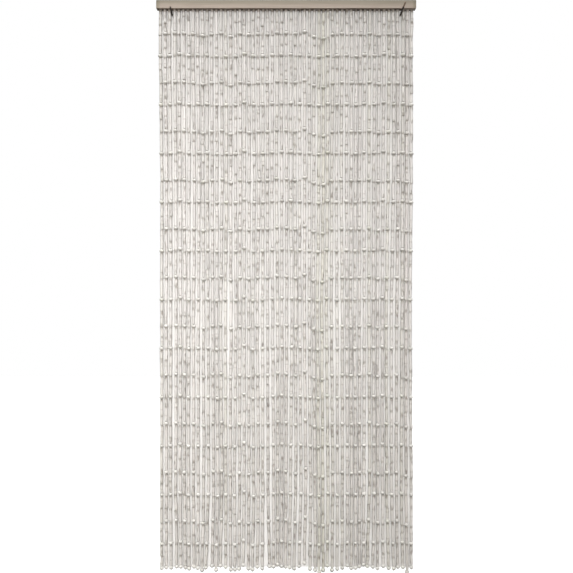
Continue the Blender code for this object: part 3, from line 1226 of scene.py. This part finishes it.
def add_area_light(name, place, aim, size, spread, power):
    """A soft light, so wide and so tall, that faces a point and fades over its spread."""
    light = bpy.data.lights.new(name, "AREA")
    light.shape = "RECTANGLE"
    light.size, light.size_y = size
    light.spread = spread
    light.energy = power
    obj = bpy.data.objects.new(name, light)
    bpy.context.scene.collection.objects.link(obj)
    obj.location = place
    away = np.array(place) - np.array(aim)
    flat = math.hypot(away[0], away[1])
    obj.rotation_euler = (math.atan2(flat, away[2]), 0.0, math.atan2(away[0], -away[1]))


def add_world(scene, stage):
    """Even light from all around, and a brighter surround that only the camera sees."""
    world = bpy.data.worlds.new("studio")
    scene.world = world
    world.use_nodes = True
    tree = world.node_tree
    lighting = tree.nodes["Background"]
    lighting.inputs["Color"].default_value = WHITE
    lighting.inputs["Strength"].default_value = stage.ambient
    inputs = {"Color": WHITE, "Strength": stage.surround}
    seen = add_node(tree, "ShaderNodeBackground", inputs)
    path = add_node(tree, "ShaderNodeLightPath").outputs["Is Camera Ray"]
    inputs = {0: path, 1: lighting.outputs[0], 2: seen.outputs[0]}
    mixed = add_node(tree, "ShaderNodeMixShader", inputs)
    tree.links.new(mixed.outputs[0], tree.nodes["World Output"].inputs["Surface"])


def add_camera(scene):
    """A level camera straight before the curtain, with the photograph's frame."""
    half_frame = PHOTO_PIXELS / 2 * PIXEL_SIZE
    data = bpy.data.cameras.new("camera")
    data.sensor_width = SENSOR
    data.lens = SENSOR / 2 * CAMERA_DISTANCE / half_frame
    camera = bpy.data.objects.new("camera", data)
    camera.location = (
        (PHOTO_PIXELS / 2 - MIDDLE_COLUMN) * PIXEL_SIZE,
        RAIL_MIDDLE - CAMERA_DISTANCE,
        RAIL_BOTTOM - (PHOTO_PIXELS / 2 - UNDERSIDE_ROW) * PIXEL_SIZE,
    )
    camera.rotation_euler = (math.pi / 2, 0.0, 0.0)
    scene.collection.objects.link(camera)
    scene.camera = camera


class CURTAIN_OT_add_stage(bpy.types.Operator):
    """Adds the floor, the panel behind the strings, the lights and the camera"""

    bl_idname = "curtain.add_stage"
    bl_label = "Stage"

    def execute(self, context):
        scene = context.scene
        stage = scene.curtain_stage
        floor_z = cad_box[0][2] - FLOOR_GAP
        add_stage_sheet(
            "floor",
            (-FLOOR_HALF, -FLOOR_HALF, floor_z),
            (2 * FLOOR_HALF, 0.0, 0.0),
            (0.0, 2 * FLOOR_HALF, 0.0),
            floor_material(stage),
        )
        add_stage_sheet(
            "panel",
            (-PANEL_HALF, PANEL_BEHIND, PANEL_BOTTOM),
            (2 * PANEL_HALF, 0.0, 0.0),
            (0.0, 0.0, PANEL_TOP - PANEL_BOTTOM),
            panel_material(stage),
        )
        powers = (stage.key_power, stage.top_power, stage.back_power)
        for (name, place, aim, size, spread), power in zip(LIGHTS, powers):
            add_area_light(name, place, aim, size, math.radians(spread), power)
        add_world(scene, stage)
        add_camera(scene)
        scene.view_settings.view_transform = "Standard"
        return {"FINISHED"}


class CURTAIN_OT_add_rail(bpy.types.Operator):
    """Adds the wooden rail with its groove"""

    bl_idname = "curtain.add_rail"
    bl_label = "Rail"

    def execute(self, context):
        side = LATH_DEPTH / 2 + GAP
        groove = (
            -LATH_END - GAP,
            LATH_END + GAP,
            RAIL_MIDDLE - side,
            RAIL_MIDDLE + side,
            LATH_HEIGHT + GAP,
        )
        mesh = rounded_bar(
            "rail_bar",
            (-RAIL_LENGTH / 2, -RAIL_DEPTH, RAIL_BOTTOM),
            (RAIL_LENGTH / 2, 0.0, -RAIL_BOTTOM),
            RAIL_ROUNDING,
            groove,
        )
        wood = rail_material(context.scene.curtain_colours)
        add_piece("rail_bar", mesh, wood, ("rail",))
        return {"FINISHED"}


class CURTAIN_OT_add_lath(bpy.types.Operator):
    """Adds the two lengths of lath that carry the strings"""

    bl_idname = "curtain.add_lath"
    bl_label = "Lath"

    def execute(self, context):
        joint = (LEFT_STRINGS - 0.5 - (STRING_COUNT - 1) / 2) * ROOT_PITCH
        wood = rail_material(context.scene.curtain_colours)
        for name, low_x, high_x in (
            ("lath_left", -LATH_END, joint - GAP / 2),
            ("lath_right", joint + GAP / 2, LATH_END),
        ):
            mesh = rounded_bar(
                name,
                (low_x, RAIL_MIDDLE - LATH_DEPTH / 2, RAIL_BOTTOM),
                (high_x, RAIL_MIDDLE + LATH_DEPTH / 2, RAIL_BOTTOM + LATH_HEIGHT),
                LATH_ROUNDING,
            )
            add_piece(name, mesh, wood)
        return {"FINISHED"}


class CURTAIN_OT_add_tubes(bpy.types.Operator):
    """Adds the bamboo tubes of all strings"""

    bl_idname = "curtain.add_tubes"
    bl_label = "Tubes"

    def execute(self, context):
        sizes = context.scene.curtain_sizes
        bamboo = bamboo_material(context.scene.curtain_colours)
        for name, first, last, solid in GROUPS:
            make_tubes("tubes_" + name, first, last, sizes, bamboo, (solid,))
        return {"FINISHED"}


class CURTAIN_OT_add_beads(bpy.types.Operator):
    """Adds the wooden beads of all strings"""

    bl_idname = "curtain.add_beads"
    bl_label = "Beads"

    def execute(self, context):
        sizes = context.scene.curtain_sizes
        wood = bead_material(context.scene.curtain_colours)
        make_beads("beads_left", 0, LEFT_STRINGS - 1, sizes, wood)
        make_beads("beads_right", LEFT_STRINGS, STRING_COUNT - 1, sizes, wood)
        return {"FINISHED"}


class CURTAIN_OT_add_cords(bpy.types.Operator):
    """Adds the cords that the tubes and beads are threaded on, with their knots"""

    bl_idname = "curtain.add_cords"
    bl_label = "Cords"

    def execute(self, context):
        cord = cord_material(context.scene.curtain_colours)
        make_cords("string_cords", context.scene.curtain_sizes, cord)
        return {"FINISHED"}


class CURTAIN_OT_add_hooks(bpy.types.Operator):
    """Adds the two wire hooks that carry the rail"""

    bl_idname = "curtain.add_hooks"
    bl_label = "Hooks"

    def execute(self, context):
        wire = wire_material(context.scene.curtain_colours)
        for name, side, tip_height, lean_degrees in HOOKS:
            make_hook(name, side, tip_height, lean_degrees, wire)
        return {"FINISHED"}


class CURTAIN_PT_pieces(bpy.types.Panel):
    """Lists the curtain's pieces, sizes and colours"""

    bl_label = "Bamboo door curtain"
    bl_idname = "CURTAIN_PT_pieces"
    bl_space_type = "VIEW_3D"
    bl_region_type = "UI"
    bl_category = "Curtain"

    def draw(self, context):
        layout = self.layout
        for operator in OPERATORS:
            layout.operator(operator.bl_idname)
        for group in PROPERTY_GROUPS:
            column = layout.column()
            for name in group.__annotations__:
                column.prop(getattr(context.scene, PROPERTY_GROUPS[group]), name)


PROPERTY_GROUPS = {
    CurtainSizes: "curtain_sizes",
    CurtainColours: "curtain_colours",
    CurtainStage: "curtain_stage",
}

# In the order in which the pieces are made
OPERATORS = (
    CURTAIN_OT_add_stage,
    CURTAIN_OT_add_rail,
    CURTAIN_OT_add_lath,
    CURTAIN_OT_add_tubes,
    CURTAIN_OT_add_beads,
    CURTAIN_OT_add_cords,
    CURTAIN_OT_add_hooks,
)


def register():
    for group, name in PROPERTY_GROUPS.items():
        bpy.utils.register_class(group)
        setattr(bpy.types.Scene, name, PointerProperty(type=group))
    for cls in (*OPERATORS, CURTAIN_PT_pieces):
        bpy.utils.register_class(cls)


def unregister():
    for cls in (CURTAIN_PT_pieces, *reversed(OPERATORS)):
        bpy.utils.unregister_class(cls)
    for group, name in PROPERTY_GROUPS.items():
        delattr(bpy.types.Scene, name)
        bpy.utils.unregister_class(group)


def main():
    register()
    bpy.ops.curtain.add_stage()
    bpy.ops.curtain.add_rail()
    bpy.ops.curtain.add_lath()
    bpy.ops.curtain.add_tubes()
    bpy.ops.curtain.add_beads()
    bpy.ops.curtain.add_cords()
    bpy.ops.curtain.add_hooks()


if __name__ == "__main__":
    main()
